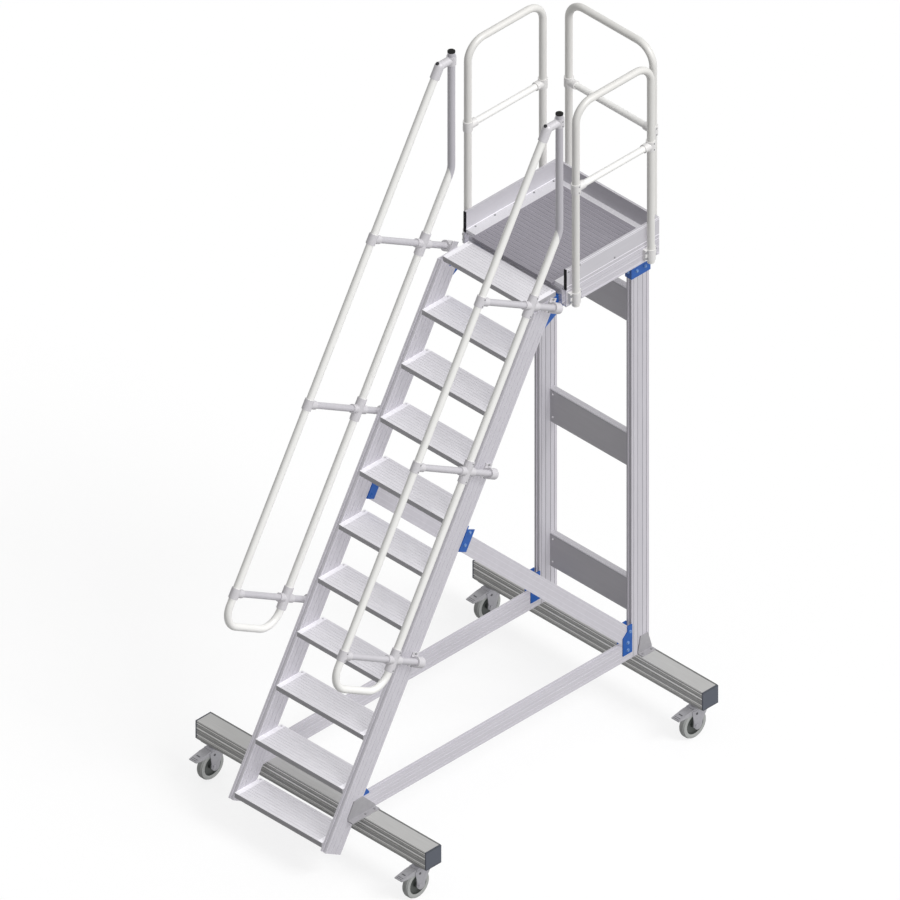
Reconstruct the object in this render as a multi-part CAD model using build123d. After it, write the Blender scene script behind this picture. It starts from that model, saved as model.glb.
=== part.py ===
# Mobile platform stairs: an aluminium stair with eleven treads at sixty degrees,
# a railed platform on two uprights, and two cross rails on four braked swivel casters.
# Millimetres. X runs across the stair, Y from the first tread to the platform, Z up from the floor.

import math
import os

from build123d import *

# Base rails
RAIL_LENGTH = 1500.0
RAIL_SIDE = 100.0
RAIL_WALL = 7.0
RAIL_CAP = 8.0
SLOT_WIDTH = 8.0
SLOT_DEPTH = 5.0

# Casters
WHEEL_RADIUS = 75.0
WHEEL_WIDTH = 32.0
TYRE_DEPTH = 15.0
CASTER_HEIGHT = 190.0
CASTER_TRAIL = 36.0
CASTER_INSET = 75.0
PLATE_LENGTH = 110.0
PLATE_WIDTH = 96.0
PLATE_THICK = 5.0
RACE_RADIUS = 36.0
KINGPIN_RADIUS = 8.0
AXLE_RADIUS = 6.0
FORK_THICK = 4.0
FORK_SIDE_GAP = 5.0
PEDAL_REACH = 150.0

# Stair
STAIR_ANGLE = 60.0
RISE = 237.0
TREAD_COUNT = 11
FIRST_TREAD = 222.0
STAIR_WIDTH = 572.0
TREAD_DEPTH = 170.0
TREAD_HEIGHT = 28.0
NOSE_PROUD = 14.0
NOSE_OVERHANG = 214.4
STRINGER_TAIL = 38.0

# Frame profiles, thickness across the stair and width in the side view
PROFILE_THICK = 33.0
PROFILE_WIDTH = 115.0
PROFILE_WALL = 4.0
BASE_TUBE_HEIGHT = 90.0
BRACE_WIDTH = 90.0
BRACE_FOOT = 41.0
UPRIGHT_LEAD = 31.0
BOARD_HEIGHT = 188.0
BOARD_THICK = 30.0
BOARD_BACKSET = 69.0
BOARD_FIRST = 190.0
BOARD_STEP = 822.0
BOARD_COUNT = 3

# Platform
DECK_RISE = 22.0
DECK_SETBACK = 18.7
PLATFORM_SIDE = 17.0
PLATFORM_DEPTH = 611.0
PLATFORM_OVERHANG = 50.0
BEAM_HEIGHT = 98.0
TOE_HEIGHT = 112.0
TOE_THICK = 12.0
DECK_STEP = 16.0
DECK_TRAY = 30.0
DECK_LIP = 22.0
LEDGE_WIDTH = 65.0
LEDGE_REAR = 31.0

# Railings and handrails
TUBE_RADIUS = 18.5
TUBE_WALL = 3.0
RAIL_OFFSET = 0.5
RAILING_TOP = 1048.0
KNEE_RAIL = 568.0
RAILING_BEND = 100.0
SIDE_POST_LEAD = 44.0
SIDE_POST_SPAN = 493.0
REAR_POST_INSET = 59.0
FOOT_BORE = 40.0
HANDRAIL_STEP = 381.0
KNEE_STEP = 103.0
HANDRAIL_BEND = 100.0
HANDRAIL_POST_SET = 64.0
HANDRAIL_FALL = 2351.0
SPACER_RADIUS = 16.5
SPACER_INSET = 5.0
SPACER_FALLS = (380.0, 1224.0, 2186.0)
TEE_LENGTH = 52.0
CROSS_LENGTH = 112.0
SADDLE_RADIUS = 27.0
SADDLE_LENGTH = 45.0

# Fits
SEAT = 0.25
RUNNING = 0.1
CLAMP_WALL = 5.0

# Worked out from the driving sizes
ANGLE = math.radians(STAIR_ANGLE)
ALONG = (math.cos(ANGLE), math.sin(ANGLE))
OUTWARD = (-math.sin(ANGLE), math.cos(ANGLE))
GOING = RISE / math.tan(ANGLE)
RAIL_TOP = CASTER_HEIGHT + RAIL_SIDE
TOP_TREAD = FIRST_TREAD + RISE * (TREAD_COUNT - 1)
STRINGER_TOP = TOP_TREAD - TREAD_HEIGHT
DECK_Z = TOP_TREAD + DECK_RISE
INNER_X = STAIR_WIDTH / 2
OUTER_X = INNER_X + PROFILE_THICK
PLATFORM_HALF = OUTER_X + PLATFORM_SIDE
REAR_POST_HALF = PLATFORM_HALF - REAR_POST_INSET
RAILING_X = PLATFORM_HALF + TUBE_RADIUS + RAIL_OFFSET

FOOT_Z = FIRST_TREAD - TREAD_HEIGHT + 7.0 - STRINGER_TAIL * math.cos(ANGLE)

# Places along Y, with zero midway between the stringers' feet and the clamps on the rear railing
PLATFORM_RUN = GOING * (TREAD_COUNT - 1) + TREAD_DEPTH + DECK_SETBACK
TOTAL_RUN = PLATFORM_RUN + PLATFORM_DEPTH + RAIL_OFFSET + 2 * TUBE_RADIUS + CLAMP_WALL
FOOT_LEAD = min(0.0, NOSE_PROUD + (FOOT_Z - FIRST_TREAD) / math.tan(ANGLE))
NOSE_Y = -(TOTAL_RUN + FOOT_LEAD) / 2
PLATFORM_Y = NOSE_Y + PLATFORM_RUN
PLATFORM_BACK = PLATFORM_Y + PLATFORM_DEPTH
UPRIGHT_Y = PLATFORM_BACK - PLATFORM_OVERHANG - PROFILE_WIDTH
RAIL_FRONT_Y = NOSE_Y + NOSE_OVERHANG
RAIL_REAR_Y = UPRIGHT_Y + UPRIGHT_LEAD
BEAM_Z = DECK_Z - BEAM_HEIGHT


def front_edge(z):
    """Y of the stringer's front edge at a height."""
    return NOSE_Y + NOSE_PROUD + (z - FIRST_TREAD) / math.tan(ANGLE)


def back_edge(z):
    """Y of the stringer's back edge at a height."""
    return front_edge(z) + PROFILE_WIDTH / math.sin(ANGLE)


def block(x0, x1, y0, y1, z0, z1):
    """A box between two corners."""
    centre = ((x0 + x1) / 2, (y0 + y1) / 2, (z0 + z1) / 2)
    return Pos(*centre) * Box(x1 - x0, y1 - y0, z1 - z0)


def side_plate(points, x0, x1):
    """A plate between two places across the stair, from its outline in the side view."""
    outline = Polyline(*points, close=True)
    face = make_face(Plane.YZ * outline)
    return Pos(x0, 0, 0) * extrude(face, x1 - x0, dir=(1, 0, 0))


def rod(start, end, radius):
    """A round bar between two points."""
    axis = Vector(*end) - Vector(*start)
    return extrude(Plane(start, z_dir=axis) * Circle(radius), axis.length)


def bent_rail(points, radii):
    """A rail of the railing tube, bent along straight runs."""
    path = FilletPolyline(*points, radius=radii)
    return sweep(Plane(path @ 0, z_dir=path % 0) * Circle(TUBE_RADIUS), path)


def mirrored(shape):
    """The same piece on the other side of the stair."""
    return mirror(shape, Plane.YZ)


def save(name, *solids):
    """Write one node."""
    shape = solids[0] if len(solids) == 1 else Compound(children=list(solids))
    export_step(shape, f"parts/{name}.step")


# Extruded sections

def frame_section(width, thick=PROFILE_THICK, wall=PROFILE_WALL):
    """The hollow section of stringers, uprights, braces and base tubes: shallow grooves
    on both wide faces and a slot down each narrow edge."""
    groove = 1.6
    section = Rectangle(thick, width) - Rectangle(thick - 2 * wall, width - 2 * wall - 8)
    for share in (-0.36, -0.14, 0.14, 0.36):
        for side in (-1, 1):
            section -= Pos(side * thick / 2, share * width) * Rectangle(2 * groove, 4)
    for end in (-1, 1):
        section -= Pos(0, end * width / 2) * Rectangle(thick * 0.3, 6)
    return section


def rail_section():
    """The square rail section: three slots in each upright face and a fine line under the top."""
    hollow = RAIL_SIDE - 2 * RAIL_WALL
    section = Rectangle(RAIL_SIDE, RAIL_SIDE) - Rectangle(hollow - 2 * SLOT_DEPTH, hollow)
    # share of the height from the centre, slot width, slot depth
    slots = ((0.43, 4.0, 3.0), (0.31, SLOT_WIDTH, SLOT_DEPTH), (0.0, SLOT_WIDTH, SLOT_DEPTH),
             (-0.31, SLOT_WIDTH, SLOT_DEPTH))
    for share, width, depth in slots:
        for side in (-1, 1):
            section -= Pos(side * RAIL_SIDE / 2, share * RAIL_SIDE) * Rectangle(2 * depth, width)
    return section


def tread_section():
    """The tread seen from its end: ribbed top plate, square nose, back flange and two webs."""
    plate = 5.0
    wall = 3.0
    lip = 12.0
    rib_pitch = 17.0
    section = Pos(TREAD_DEPTH / 2, -plate / 2) * Rectangle(TREAD_DEPTH, plate)
    for x in (wall / 2, TREAD_DEPTH - wall / 2):
        section += Pos(x, -TREAD_HEIGHT / 2) * Rectangle(wall, TREAD_HEIGHT)
    for x in (lip / 2, TREAD_DEPTH - lip / 2):
        section += Pos(x, -TREAD_HEIGHT + wall / 2) * Rectangle(lip, wall)
    for share in (0.36, 0.64):
        section += Pos(share * TREAD_DEPTH, -TREAD_HEIGHT / 2) * Rectangle(wall, TREAD_HEIGHT)
    rib_count = int((TREAD_DEPTH - rib_pitch) / rib_pitch)
    first = (TREAD_DEPTH - rib_pitch * (rib_count - 1)) / 2
    for n in range(rib_count):
        section -= Pos(first + n * rib_pitch, 0) * Rectangle(5.0, 2.4)
    return section


# Base frame

def base_rails():
    """Two square rails across the base, and the caps that close their ends."""
    half = RAIL_LENGTH / 2
    section = Plane.YZ * rail_section()
    bar = Pos(-half, 0, 0) * extrude(section, RAIL_LENGTH, dir=(1, 0, 0))
    cap = Pos(RAIL_CAP / 2, 0, 0) * Box(RAIL_CAP, RAIL_SIDE, RAIL_SIDE)
    cap = fillet(cap.edges().filter_by(Axis.X), 2.0)
    caps = []
    for name, y in (("rail_front", RAIL_FRONT_Y), ("rail_rear", RAIL_REAR_Y)):
        centre = Pos(0, y + RAIL_SIDE / 2, CASTER_HEIGHT + RAIL_SIDE / 2)
        save(name, centre * bar)
        caps.append(centre * Pos(half, 0, 0) * cap)
        caps.append(centre * Pos(-half - RAIL_CAP, 0, 0) * cap)
    save("rail_end_caps", *caps)


def base_tubes():
    """A flat tube down each side, from the stringer's back to the upright, on the front rail."""
    z1 = RAIL_TOP + BASE_TUBE_HEIGHT
    section = Plane.XZ * frame_section(BASE_TUBE_HEIGHT)
    length = UPRIGHT_Y - back_edge(RAIL_TOP)
    bar = Pos(0, UPRIGHT_Y, 0) * extrude(section, length, dir=(0, -1, 0))
    bar = Pos((INNER_X + OUTER_X) / 2, 0, (RAIL_TOP + z1) / 2) * bar
    lead = 200.0
    wedge = [
        (back_edge(RAIL_TOP) - lead, RAIL_TOP - 1),
        (back_edge(RAIL_TOP - 1), RAIL_TOP - 1),
        (back_edge(z1 + 1), z1 + 1),
        (back_edge(RAIL_TOP) - lead, z1 + 1),
    ]
    bar -= side_plate(wedge, INNER_X - 1, OUTER_X + 1)
    save("base_tube_right", bar)
    save("base_tube_left", mirrored(bar))


def stringers():
    """The two sloping sides, square cut at the foot and cut level under the top tread."""
    foot = (front_edge(FOOT_Z), FOOT_Z)
    top_z = STRINGER_TOP
    length = (top_z - FOOT_Z) / math.sin(ANGLE) + PROFILE_WIDTH
    plane = Plane((0, *foot), x_dir=(1, 0, 0), z_dir=(0, *ALONG))
    section = plane * Pos(0, PROFILE_WIDTH / 2) * frame_section(PROFILE_WIDTH)
    bar = Pos((INNER_X + OUTER_X) / 2, 0, 0) * extrude(section, length)
    reach = 400.0
    bar -= block(0, 2 * OUTER_X, front_edge(top_z) - reach, back_edge(top_z) + reach, top_z, top_z + reach)
    save("stringer_right", bar)
    save("stringer_left", mirrored(bar))


def treads():
    """Eleven ribbed treads with plain end blocks, from the same nose line as the stringers."""
    end = 24.0
    ribbed = Plane.YZ * tread_section()
    body = Pos(-INNER_X + end, 0, 0) * extrude(ribbed, STAIR_WIDTH - 2 * end, dir=(1, 0, 0))
    for x in (-INNER_X, INNER_X - end):
        body += block(x, x + end, 0, TREAD_DEPTH, -TREAD_HEIGHT, 0)
    body = body.solid()
    save("treads", *[Pos(0, NOSE_Y + n * GOING, FIRST_TREAD + n * RISE) * body for n in range(TREAD_COUNT)])


def uprights():
    """Two upright profiles on the rear rail that carry the platform, with three boards between."""
    section = Pos(0, PROFILE_WIDTH / 2) * frame_section(PROFILE_WIDTH)
    bar = extrude(section, BEAM_Z - RAIL_TOP)
    bar = Pos((INNER_X + OUTER_X) / 2, UPRIGHT_Y, RAIL_TOP) * bar
    save("upright_right", bar)
    save("upright_left", mirrored(bar))
    wall = 3.0
    y0 = UPRIGHT_Y + BOARD_BACKSET
    boards = []
    for n in range(BOARD_COUNT):
        z0 = RAIL_TOP + BOARD_FIRST + n * BOARD_STEP
        board = block(-INNER_X, INNER_X, y0, y0 + BOARD_THICK, z0, z0 + BOARD_HEIGHT)
        board -= block(-INNER_X, INNER_X, y0 + wall, y0 + BOARD_THICK, z0 + wall, z0 + BOARD_HEIGHT - wall)
        groove = y0 + BOARD_THICK * 0.4
        board -= block(-INNER_X, INNER_X, groove, groove + 5, z0 + BOARD_HEIGHT - 1.5, z0 + BOARD_HEIGHT)
        boards.append(board)
    save("back_boards", *boards)


def brace_line():
    """Foot and head of the brace's lower edge in the side view, at forty-five degrees, from the
    upright's face to the stringer's back edge."""
    foot_z = RAIL_TOP + BRACE_FOOT
    slope = math.tan(ANGLE)
    gap = UPRIGHT_Y - back_edge(FIRST_TREAD) - (FIRST_TREAD - foot_z)
    head_z = FIRST_TREAD + gap / (1 + 1 / slope)
    return (UPRIGHT_Y, foot_z), (back_edge(head_z), head_z)


def braces():
    """A flat profile down each side from the stringer's back to the foot of the upright."""
    foot, head = brace_line()
    diagonal = math.sqrt(0.5)
    overrun = 2 * BRACE_WIDTH
    start = (foot[0] + overrun * diagonal, foot[1] - overrun * diagonal)
    length = math.dist(foot, head) + 2 * overrun
    plane = Plane((0, *start), x_dir=(1, 0, 0), z_dir=(0, -diagonal, diagonal))
    section = plane * Pos(0, BRACE_WIDTH / 2) * frame_section(BRACE_WIDTH)
    bar = Pos((INNER_X + OUTER_X) / 2, 0, 0) * extrude(section, length)
    span = (INNER_X - 1, OUTER_X + 1)
    reach = 2000.0
    bar -= block(*span, UPRIGHT_Y, UPRIGHT_Y + reach, 0, DECK_Z)
    bar -= block(*span, UPRIGHT_Y - reach, UPRIGHT_Y, RAIL_TOP - reach, RAIL_TOP + BASE_TUBE_HEIGHT)
    low, high = RAIL_TOP, DECK_Z
    bar -= side_plate([
        (back_edge(low) - reach, low), (back_edge(low), low),
        (back_edge(high), high), (back_edge(high) - reach, high),
    ], *span)
    bar = max(bar.solids(), key=lambda s: s.volume)
    save("brace_right", bar)
    save("brace_left", mirrored(bar))


def brackets():
    """The blue brackets that bolt the frame together, mirrored to both sides."""
    plate = 5.0
    cover = 60.0
    foot, head = brace_line()
    rise = BRACE_WIDTH * math.sqrt(2)
    pieces = []
    # foot of the upright: plates outside and inside the base tube and the brace
    z0 = RAIL_TOP + 38
    z1 = foot[1] + rise + 26
    foot_plate = [
        (UPRIGHT_Y - cover, z0), (UPRIGHT_Y, z0), (UPRIGHT_Y, z1), (UPRIGHT_Y - cover * 0.5, z1),
        (UPRIGHT_Y - cover * 0.5, z1 - cover * 0.5), (UPRIGHT_Y - cover, z1 - cover),
    ]
    # head of the brace: plates outside and inside, along the stringer's back edge
    head_low = head[1] - 4
    head_high = head_low + rise * 0.78
    head_plate = [
        (back_edge(head_low), head_low), (back_edge(head_low) + cover * 0.8, head_low - cover * 0.4),
        (back_edge(head_high) + cover * 0.8, head_high - cover * 0.4), (back_edge(head_high), head_high),
    ]
    for outline in (foot_plate, head_plate):
        pieces.append(side_plate(outline, OUTER_X, OUTER_X + plate))
        pieces.append(side_plate(outline, INNER_X - plate, INNER_X))
    # corner on the base tube behind the stringer
    z0 = RAIL_TOP + BASE_TUBE_HEIGHT
    corner = [(back_edge(z0), z0), (back_edge(z0) + 46, z0), (back_edge(z0) + 46, z0 + 8),
              (back_edge(z0 + 34) + 8, z0 + 34), (back_edge(z0 + 34), z0 + 34)]
    pieces.append(side_plate(corner, INNER_X + 4, OUTER_X - 4))
    # triangle between the stringer's back and the underside of the platform
    z0 = BEAM_Z - 76
    corner = [(back_edge(z0), z0), (PLATFORM_Y + 8, BEAM_Z), (back_edge(BEAM_Z), BEAM_Z)]
    pieces.append(side_plate(corner, INNER_X + 4, OUTER_X - 4))
    # sleeve on the head of the upright, with a flange under the platform's side beam
    leg = 71.0
    sleeve = block(INNER_X - plate, OUTER_X + plate, UPRIGHT_Y - plate, UPRIGHT_Y + PROFILE_WIDTH + plate,
                   BEAM_Z - leg, BEAM_Z)
    sleeve += block(OUTER_X, PLATFORM_HALF, UPRIGHT_Y, UPRIGHT_Y + PROFILE_WIDTH, BEAM_Z - plate, BEAM_Z)
    sleeve -= block(INNER_X, OUTER_X, UPRIGHT_Y, UPRIGHT_Y + PROFILE_WIDTH, BEAM_Z - leg, BEAM_Z)
    pieces.append(sleeve.solid())
    # head of the stringer: an angle between its inner face and the platform's front beam
    z1 = STRINGER_TOP
    z0 = BEAM_Z
    angle = side_plate([(back_edge(z0) - 60, z0), (PLATFORM_Y, z0), (PLATFORM_Y, z1),
                        (back_edge(z1) - 60, z1)], INNER_X - plate, INNER_X)
    angle += block(INNER_X - 50, INNER_X, PLATFORM_Y - plate, PLATFORM_Y, z0, z1)
    pieces.append(angle.solid())
    save("corner_brackets", *pieces, *[mirrored(s) for s in pieces])


def gussets():
    """Grey angle gussets that hold the stringers and uprights on the rails."""
    plate = 6.0
    flange = 34.0
    height = 98.0
    pieces = []
    # foot from and to, top from and to, along Y
    for y0, y1, top0, top1 in (
        (RAIL_FRONT_Y - 78, RAIL_FRONT_Y + RAIL_SIDE, RAIL_FRONT_Y - 38, RAIL_FRONT_Y + 20),
        (RAIL_REAR_Y + 8, RAIL_REAR_Y + RAIL_SIDE - 4, RAIL_REAR_Y + 24, RAIL_REAR_Y + 72),
    ):
        outline = [(y0, RAIL_TOP), (y1, RAIL_TOP), (y1, RAIL_TOP + 16), (top1, RAIL_TOP + height),
                   (top0, RAIL_TOP + height), (y0, RAIL_TOP + 22)]
        gusset = side_plate(outline, OUTER_X, OUTER_X + plate)
        gusset += block(OUTER_X, OUTER_X + flange, y0, y1, RAIL_TOP, RAIL_TOP + plate)
        pieces.append(gusset.solid())
    save("rail_gussets", *pieces, *[mirrored(s) for s in pieces])


# Platform

def platform():
    """Side and cross beams, the deck between them, and the toe boards on top."""
    inner = PLATFORM_HALF - PROFILE_THICK
    section = Plane.XZ * frame_section(BEAM_HEIGHT)
    side = extrude(section, PLATFORM_DEPTH, dir=(0, 1, 0))
    side = Pos(PLATFORM_HALF - PROFILE_THICK / 2, PLATFORM_Y, BEAM_Z + BEAM_HEIGHT / 2) * side
    save("platform_side_beams", side, mirrored(side))
    cross_section = Plane.YZ * frame_section(BEAM_HEIGHT)
    cross = Pos(-inner, 0, BEAM_Z + BEAM_HEIGHT / 2) * extrude(cross_section, 2 * inner, dir=(1, 0, 0))
    front = Pos(0, PLATFORM_Y + PROFILE_THICK / 2, 0) * cross
    back = Pos(0, PLATFORM_BACK - PROFILE_THICK / 2, 0) * cross
    save("platform_cross_beams", front, back)
    # ledge: a flat rim round three sides of the deck, inside the toe boards
    edge = PLATFORM_HALF - TOE_THICK
    top = DECK_Z + DECK_STEP
    back_face = PLATFORM_BACK - TOE_THICK
    deck_half = edge - LEDGE_WIDTH
    ledge = block(-edge, edge, PLATFORM_Y, back_face, DECK_Z, top)
    ledge -= block(-deck_half, deck_half, PLATFORM_Y, back_face - LEDGE_REAR, DECK_Z, top)
    save("deck_ledge", ledge)
    # deck: a ribbed top over the beams and the last tread, with a tray of three cells below it
    y0 = PLATFORM_Y - DECK_LIP
    y1 = back_face - LEDGE_REAR - SEAT
    half = deck_half - SEAT
    deck = block(-half, half, y0, y1, DECK_Z, top)
    tray = (PLATFORM_Y + PROFILE_THICK, PLATFORM_BACK - PROFILE_THICK)
    deck += block(-half, half, *tray, DECK_Z - DECK_TRAY, DECK_Z)
    rib_pitch = 24.0
    rim = 12.0
    count = int((y1 - y0 - 2 * rim) / rib_pitch)
    for n in range(count):
        y = y0 + rim + (n + 0.5) * (y1 - y0 - 2 * rim) / count
        deck -= block(-half + rim, half - rim, y - 3, y + 3, top - 2, top)
    cell = (2 * half - 4 * rim) / 3
    for n in range(3):
        x = -half + rim + n * (cell + rim)
        deck -= block(x, x + cell, tray[0] + rim, tray[1] - rim, DECK_Z - DECK_TRAY, DECK_Z + 4)
    save("deck", deck)
    # toe boards stand on the beams, flush with their outer faces
    toe_top = DECK_Z + TOE_HEIGHT
    toe = block(PLATFORM_HALF - TOE_THICK, PLATFORM_HALF, PLATFORM_Y, PLATFORM_BACK, DECK_Z, toe_top)
    toe -= block(PLATFORM_HALF - 2, PLATFORM_HALF, PLATFORM_Y, PLATFORM_BACK, DECK_Z + 8, DECK_Z + 12)
    save("toe_boards_side", toe, mirrored(toe))
    save("toe_board_rear", block(-edge, edge, PLATFORM_BACK - TOE_THICK, PLATFORM_BACK, DECK_Z, toe_top))


def railings():
    """Three bent tube frames round the platform, each with a knee rail and its fittings."""
    foot_z = BEAM_Z
    top_z = DECK_Z + RAILING_TOP - TUBE_RADIUS
    knee_z = DECK_Z + KNEE_RAIL
    front = PLATFORM_Y + SIDE_POST_LEAD
    rear = front + SIDE_POST_SPAN
    back = PLATFORM_BACK + RAIL_OFFSET + TUBE_RADIUS
    # name, first post, second post
    frames = (
        ("railing_right", (RAILING_X, front), (RAILING_X, rear)),
        ("railing_left", (-RAILING_X, front), (-RAILING_X, rear)),
        ("railing_rear", (-REAR_POST_HALF, back), (REAR_POST_HALF, back)),
    )
    knees = []
    fittings = []
    for name, a, b in frames:
        path = [(*a, foot_z), (*a, top_z), (*b, top_z), (*b, foot_z)]
        frame = bent_rail(path, RAILING_BEND)
        for post in (a, b):
            frame -= rod((*post, foot_z), (*post, foot_z + FOOT_BORE), TUBE_RADIUS - TUBE_WALL)
        save(name, frame)
        run = Vector(*b, 0) - Vector(*a, 0)
        step = run.normalized()
        socket = TUBE_RADIUS + CLAMP_WALL + SEAT
        start = Vector(*a, knee_z) + step * socket
        end = Vector(*b, knee_z) - step * socket
        knees.append(rod(start, end, SPACER_RADIUS))
        for post, way in ((Vector(*a, knee_z), step), (Vector(*b, knee_z), -step)):
            fittings.append(tee(post, (0, 0, 1), way, SPACER_RADIUS, socket + 26))
        outward = Vector(*a, 0) + Vector(*b, 0)
        outward = Vector(outward.X, 0, 0) if name != "railing_rear" else Vector(0, outward.Y, 0)
        for post in (a, b):
            fittings.append(post_clamp(Vector(*post, 0), outward.normalized()))
    save("knee_rails", *knees)
    save("railing_fittings", *fittings)


def post_clamp(post, outward):
    """A split block round the foot of a railing post, bolted to the side of the beam."""
    height = 60.0
    z = BEAM_Z + 18
    radius = TUBE_RADIUS + SEAT
    shell = TUBE_RADIUS + CLAMP_WALL
    centre = Vector(post.X, post.Y, z)
    clamp = extrude(Plane(centre) * Circle(shell), height)
    along = Vector(-outward.Y, outward.X, 0)
    back = TUBE_RADIUS + RAIL_OFFSET
    ears = Plane(centre - outward * (back / 2), x_dir=along, z_dir=(0, 0, 1)) * Rectangle(70, back)
    ears = extrude(ears, height)
    trim = Plane(centre - outward * (back - 3), x_dir=along, z_dir=(0, 0, 1))
    ears -= extrude(trim * Pos(0, 50) * Rectangle(200, 0.1), height)
    clamp += ears
    wall = Plane(centre - outward * (back + 20), x_dir=along, z_dir=(0, 0, 1))
    clamp -= extrude(wall * Rectangle(200, 40), height)
    clamp -= extrude(Plane(centre) * Circle(radius), height)
    return clamp.solid()


def tee(centre, run, branch, branch_radius, reach, length=TEE_LENGTH):
    """A clamp sleeve on a tube with a socket for a second tube at right angles."""
    run = Vector(*run).normalized()
    branch = Vector(*branch).normalized()
    centre = Vector(*centre)
    sleeve = rod(centre - run * (length / 2), centre + run * (length / 2), TUBE_RADIUS + CLAMP_WALL)
    sleeve += rod(centre, centre + branch * reach, branch_radius + CLAMP_WALL)
    sleeve -= rod(centre - run * length, centre + run * length, TUBE_RADIUS + SEAT)
    inner = TUBE_RADIUS + CLAMP_WALL
    sleeve -= rod(centre + branch * inner, centre + branch * (reach + 10), branch_radius + SEAT)
    return sleeve.solid()


# Handrails

def slope_point(fall, out):
    """A place in the handrail's plane: fall down the slope from the post bend,
    out square to the stringer from its front edge."""
    bend_y = PLATFORM_Y - HANDRAIL_POST_SET
    # the knee tube's line meets the post here
    z = FIRST_TREAD + (bend_y - NOSE_Y - NOSE_PROUD + KNEE_STEP / math.sin(ANGLE)) * math.tan(ANGLE)
    y = bend_y - fall * ALONG[0] + (out - KNEE_STEP) * OUTWARD[0]
    return y, z - fall * ALONG[1] + (out - KNEE_STEP) * OUTWARD[1]


def handrails():
    """One bent tube each side: down from the post top, along the slope, round the U at the
    foot and back up as the handrail, with three spacers that clamp it to the stringer."""
    top_z = DECK_Z + RAILING_TOP
    knee = KNEE_STEP
    hand = KNEE_STEP + HANDRAIL_STEP
    bend = slope_point(0, knee)
    elbow_z = top_z - 48
    fall_top = (slope_point(0, hand)[1] - elbow_z) / ALONG[1]
    path = [(bend[0], top_z - 5), bend, slope_point(HANDRAIL_FALL, knee),
            slope_point(HANDRAIL_FALL, hand), slope_point(fall_top, hand)]
    points = [(RAILING_X, *p) for p in path]
    rail = bent_rail(points, HANDRAIL_BEND)
    save("handrail_right", rail)
    save("handrail_left", mirrored(rail))

    cap = Pos(RAILING_X, bend[0], top_z - 5) * extrude(Circle(TUBE_RADIUS + 0.5), 5)
    save("handrail_caps", cap, mirrored(cap))

    spacers = []
    fittings = []
    socket = TUBE_RADIUS + CLAMP_WALL + SEAT
    slope = (0, *ALONG)
    toward = (0, -OUTWARD[0], -OUTWARD[1])
    away = (0, *OUTWARD)
    for fall in SPACER_FALLS:
        spots = {out: (RAILING_X, *slope_point(fall, out)) for out in (
            hand, hand - socket, knee, knee + socket, knee - socket, SPACER_INSET - PROFILE_WIDTH)}
        spacers.append(rod(spots[hand - socket], spots[knee + socket], SPACER_RADIUS))
        spacers.append(rod(spots[knee - socket], spots[SPACER_INSET - PROFILE_WIDTH], SPACER_RADIUS))
        fittings.append(tee(spots[hand], slope, toward, SPACER_RADIUS, socket + 26))
        cross = tee(spots[knee], slope, toward, SPACER_RADIUS, socket + 26, CROSS_LENGTH)
        cross += tee(spots[knee], slope, away, SPACER_RADIUS, socket + 26, CROSS_LENGTH)
        fittings.append(cross.solid())
        fittings.append(stringer_clamp(slope_point(fall, SPACER_INSET + SADDLE_LENGTH / 2 - PROFILE_WIDTH)))
    # elbow from the handrail's end to the post under its cap
    end = slope_point(fall_top, hand)
    post = (RAILING_X, bend[0], elbow_z)
    radius = TUBE_RADIUS + CLAMP_WALL
    elbow = Pos(*post) * Pos(0, 0, -26) * extrude(Circle(radius), 46)
    tail = slope_point(fall_top + 64, hand)
    elbow += rod((RAILING_X, *tail), (RAILING_X, *slope_point(fall_top, hand)), radius)
    elbow += Pos(RAILING_X, *end) * Sphere(radius)
    elbow += rod((RAILING_X, *end), post, radius - 3)
    elbow -= Pos(*post) * Pos(0, 0, -40) * extrude(Circle(TUBE_RADIUS + SEAT), 80)
    over = slope_point(fall_top - 1, hand)
    elbow -= rod((RAILING_X, *slope_point(fall_top + 80, hand)), (RAILING_X, *over), TUBE_RADIUS + SEAT)
    fittings.append(elbow.solid())
    save("handrail_spacers", *spacers, *[mirrored(s) for s in spacers])
    save("handrail_fittings", *fittings, *[mirrored(s) for s in fittings])


def stringer_clamp(place):
    """A saddle round the end of a spacer, seated on the outer face of the stringer."""
    centre = Vector(RAILING_X, *place)
    plane = Plane(centre, x_dir=(1, 0, 0), z_dir=(0, *OUTWARD))
    gap = RAILING_X - OUTER_X
    body = Circle(SADDLE_RADIUS) + Pos(-gap / 2, 0) * Rectangle(gap, 2 * SPACER_RADIUS)
    body += Pos(3 - gap, 0) * Rectangle(6, 2 * SADDLE_RADIUS + 20)
    body -= Circle(SPACER_RADIUS + SEAT)
    return extrude(plane * body, SADDLE_LENGTH / 2, both=True).solid()


# Casters

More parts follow.
